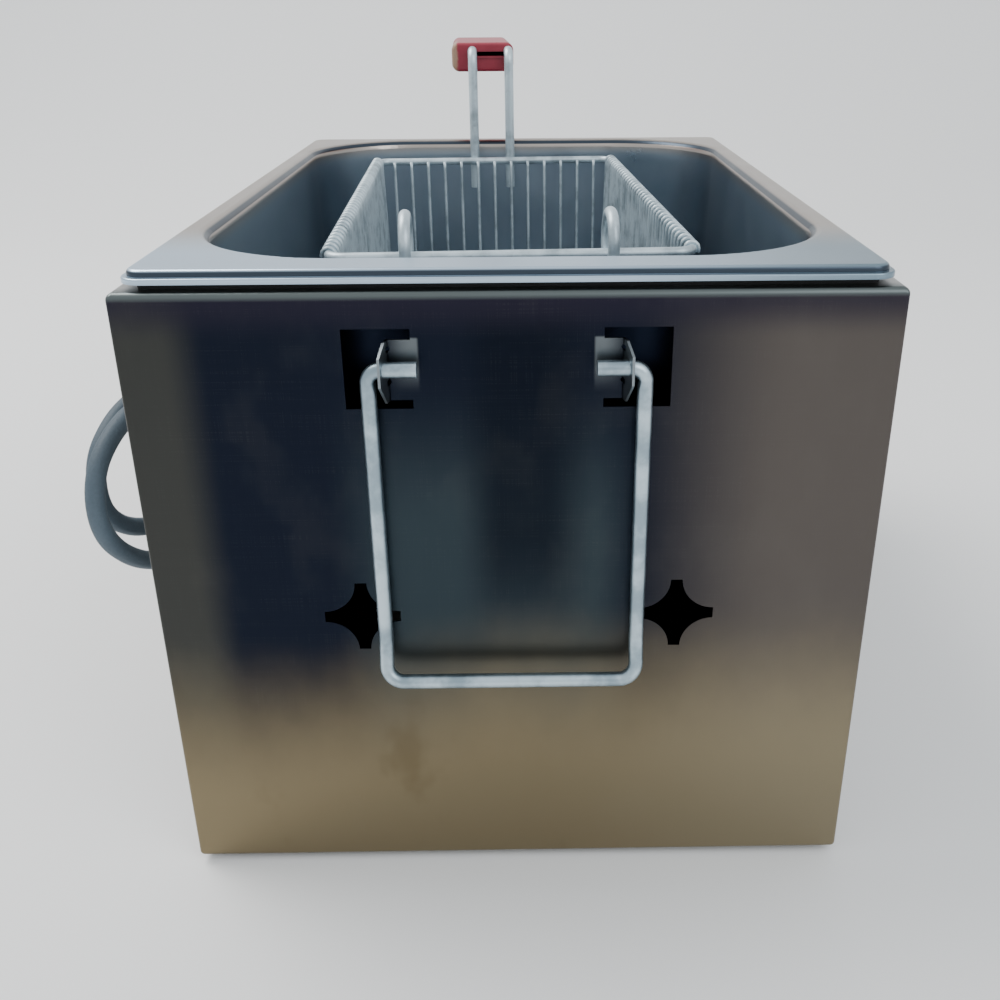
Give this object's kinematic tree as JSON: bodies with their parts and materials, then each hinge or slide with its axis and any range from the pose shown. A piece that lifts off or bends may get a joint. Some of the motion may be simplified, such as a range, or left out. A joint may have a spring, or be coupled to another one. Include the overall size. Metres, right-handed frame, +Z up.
{
  "type": "deep fryer",
  "caption": "Single-tank table-top deep fryer: steel box casing, lift-out wire basket with a handle, swing-up wire bail to drain it, and rear controls.",
  "frame": {"origin": "on the table, midway between the casing's sides and midway between the bail's bar and the end of the basket's grip", "axes": "+Z up; +Y from the bail end towards the control end, the way the handle points; +X to the right as seen from the bail end"},
  "size_m": [0.4076, 0.5236, 0.336],
  "materials": {
    "casing_steel": "brushed sheet, worn satin",
    "plain_steel": "plain mill sheet",
    "tank_steel": "drawn sheet, satin",
    "screw_steel": "plated",
    "basket_wire": "dull plated wire",
    "mesh_wire": "dull plated wire",
    "zinc_wire": "bright zinc plated",
    "rack_wire": "plain wire",
    "grip_red": "moulded, worn",
    "foot_rubber": "matt",
    "cord_grey": "matt",
    "gland_dark": "moulded",
    "tie_black": "moulded",
    "plug_black": "moulded",
    "pin_metal": "plated",
    "element_sheath": "oxidised sheath",
    "gland_brass": "turned",
    "sensor_copper": "drawn",
    "control_body": "moulded",
    "knob_black": "moulded",
    "shaft_steel": "turned",
    "dial_silver": "satin with printed marks",
    "rocker_black": "moulded",
    "lens_green": "tinted lens",
    "lens_amber": "tinted lens",
    "button_red": "moulded",
    "block_white": "moulded",
    "wire_brown": "insulation",
    "wire_blue": "insulation",
    "wire_green": "insulation"
  },
  "bodies": {
    "housing": {"base_plate": "plain_steel", "base_screws": "screw_steel", "capillary_glands": "gland_brass", "casing_wrap": "casing_steel", "cord_coil": "cord_grey", "cord_gland": "gland_dark", "cord_lead": "cord_grey", "cord_tail": "cord_grey", "cord_tie": "tie_black", "dial_plate": "dial_silver", "earth_stud": "screw_steel", "earth_wire": "wire_green", "element_bushes": "gland_brass", "element_nuts": "screw_steel", "element_rack": "rack_wire", "feet": "foot_rubber", "foot_screws": "screw_steel", "front_panel": "casing_steel", "heat_lamp": "lens_amber", "heating_element": "element_sheath", "lamp_bodies": "control_body", "limiter": "control_body", "limiter_bulb": "sensor_copper", "limiter_capillary": "sensor_copper", "live_wire": "wire_brown", "neutral_wire": "wire_blue", "panel_screws": "screw_steel", "plug_body": "plug_black", "plug_pins": "pin_metal", "power_lamp": "lens_green", "rack_legs": "rack_wire", "rim_seal": "foot_rubber", "strain_relief": "gland_dark", "switch_housing": "control_body", "tank": "tank_steel", "terminal_block": "block_white", "thermostat": "control_body", "thermostat_bulb": "sensor_copper", "thermostat_capillary": "sensor_copper"},
    "bail": {"drain_bail": "zinc_wire"},
    "basket": {"basket_base_hoop": "basket_wire", "basket_bottom_mesh": "mesh_wire", "basket_far_mesh": "mesh_wire", "basket_frame": "basket_wire", "basket_hooks": "basket_wire", "basket_left_mesh": "mesh_wire", "basket_near_mesh": "mesh_wire", "basket_right_mesh": "mesh_wire", "handle_wire": "basket_wire", "handle_grip": "grip_red"},
    "knob": {"knob": "knob_black", "knob_shaft": "shaft_steel"},
    "rocker": {"switch_rocker": "rocker_black"},
    "reset": {"reset_button": "button_red"}
  },
  "joints": [
    {"name": "bail_swing", "type": "hinge", "parent": "housing", "child": "bail", "pos_m": [0, -0.25325, 0.2377], "axis": [-1, 0, 0], "range_deg": [0, 184]},
    {"name": "basket_lift", "type": "slide", "parent": "housing", "child": "basket", "axis": [0, 0, 1], "range_m": [0, 0.25]},
    {"name": "knob_turn", "type": "hinge", "parent": "housing", "child": "knob", "pos_m": [0.066, 0.17375, 0.056], "axis": [0, -1, 0], "range_deg": [0, 270]},
    {"name": "switch_rock", "type": "hinge", "parent": "housing", "child": "rocker", "pos_m": [-0.078, 0.17325, 0.056], "axis": [-1, 0, 0], "range_deg": [0, 16]},
    {"name": "reset_press", "type": "slide", "parent": "housing", "child": "reset", "axis": [0, -1, 0], "range_m": [0, 0.0025], "stiffness_N_per_m": 400}
  ]
}
